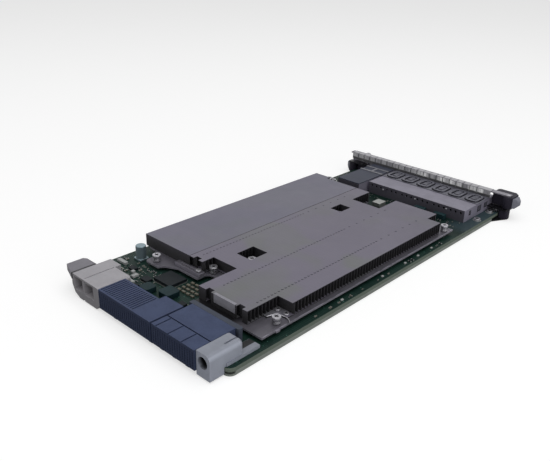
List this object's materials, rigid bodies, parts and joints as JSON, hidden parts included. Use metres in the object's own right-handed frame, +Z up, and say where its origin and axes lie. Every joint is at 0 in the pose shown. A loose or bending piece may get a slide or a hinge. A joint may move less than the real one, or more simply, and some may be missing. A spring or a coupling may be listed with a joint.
{
  "type": "baseband processing board",
  "caption": "Plug-in telecom processing board with a metal front panel, optical port cages, finned heat sinks, ejector levers and backplane connectors.",
  "frame": {"origin": "under the middle of the part's box, on the plane of the tray's underside", "axes": "+X along the front panel, +Y from the front panel towards the backplane connectors, +Z up"},
  "size_m": [0.161, 0.3076, 0.0197],
  "materials": {
    "tray_metal": "plain folded sheet",
    "board_green": "solder mask",
    "panel_metal": "plated sheet",
    "contact_metal": "bright spring sheet",
    "clear_light": "clear moulding",
    "lever_black": "black moulding",
    "cam_grey": "pale moulding",
    "steel": "plain steel",
    "cage_steel": "thin plated sheet",
    "roof_steel": "dull plated sheet",
    "connector_black": "moulded",
    "sink_aluminium": "satin fins",
    "base_aluminium": "satin plate",
    "tab_white": "blank tab",
    "chip_black": "moulded package",
    "pad_grey": "soft pad",
    "ferrite": "dark ferrite",
    "can_metal": "drawn can",
    "chip_tan": "plain ends",
    "white_plastic": "moulded",
    "bright_metal": "plated can",
    "signal_blue": "moulded",
    "rail_grey": "moulded",
    "power_cream": "moulded",
    "contact_brass": "plated blade",
    "end_grey": "moulded",
    "guide_cast": "satin casting"
  },
  "bodies": {
    "board": {"board_tray": "tray_metal", "circuit_board": "board_green", "front_panel": "panel_metal", "contact_strip": "contact_metal", "light_pipes": "clear_light", "ejector_pin_left": "steel", "ejector_pin_right": "steel", "lever_stop_block": "lever_black", "port_cage": "cage_steel", "cage_collar": "cage_steel", "port_connectors": "connector_black", "wide_cage": "cage_steel", "wide_cage_plate": "roof_steel", "wide_cage_clip": "contact_metal", "wide_connector": "connector_black", "main_sink_base": "base_aluminium", "main_sink_fins": "sink_aluminium", "blank_tab": "tab_white", "left_sink_base": "base_aluminium", "left_sink_fins": "sink_aluminium", "sink_bar": "base_aluminium", "spring_screws": "steel", "screw_springs": "steel", "board_screws": "steel", "small_screws": "steel", "processor_packages": "chip_black", "thermal_pads": "pad_grey", "memory_chips": "chip_black", "interface_chip": "chip_black", "power_inductors": "ferrite", "bulk_capacitor": "can_metal", "chip_capacitors": "chip_tan", "white_parts": "white_plastic", "control_chips": "chip_black", "clock_module": "bright_metal", "filter_modules": "rail_grey", "edge_chips": "white_plastic", "wafer_connector": "signal_blue", "module_connector": "signal_blue", "connector_rail": "rail_grey", "power_connector": "power_cream", "power_contacts": "contact_brass", "end_block": "end_grey", "guide_block": "guide_cast"},
    "ejector_left": {"ejector_lever_left": "lever_black", "ejector_cam_left": "cam_grey"},
    "ejector_right": {"ejector_lever_right": "lever_black", "ejector_cam_right": "cam_grey"},
    "thumbscrew_left": {"captive_screw_left": "steel"},
    "thumbscrew_right": {"captive_screw_right": "steel"}
  },
  "joints": [
    {"name": "ejector_left_turn", "type": "hinge", "parent": "board", "child": "ejector_left", "pos_m": [0.0725, -0.142, 0.00585], "axis": [0, 0, 1], "range_deg": [0, 40]},
    {"name": "ejector_right_turn", "type": "hinge", "parent": "board", "child": "ejector_right", "pos_m": [-0.0725, -0.142, 0.01365], "axis": [0, 0, -1], "range_deg": [0, 40]},
    {"name": "thumbscrew_left_turn", "type": "hinge", "parent": "board", "child": "thumbscrew_left", "pos_m": [0.0635, -0.144, 0.01505], "axis": [0, 1, 0], "continuous": true},
    {"name": "thumbscrew_right_turn", "type": "hinge", "parent": "board", "child": "thumbscrew_right", "pos_m": [-0.0635, -0.144, 0.00435], "axis": [0, 1, 0], "continuous": true}
  ]
}
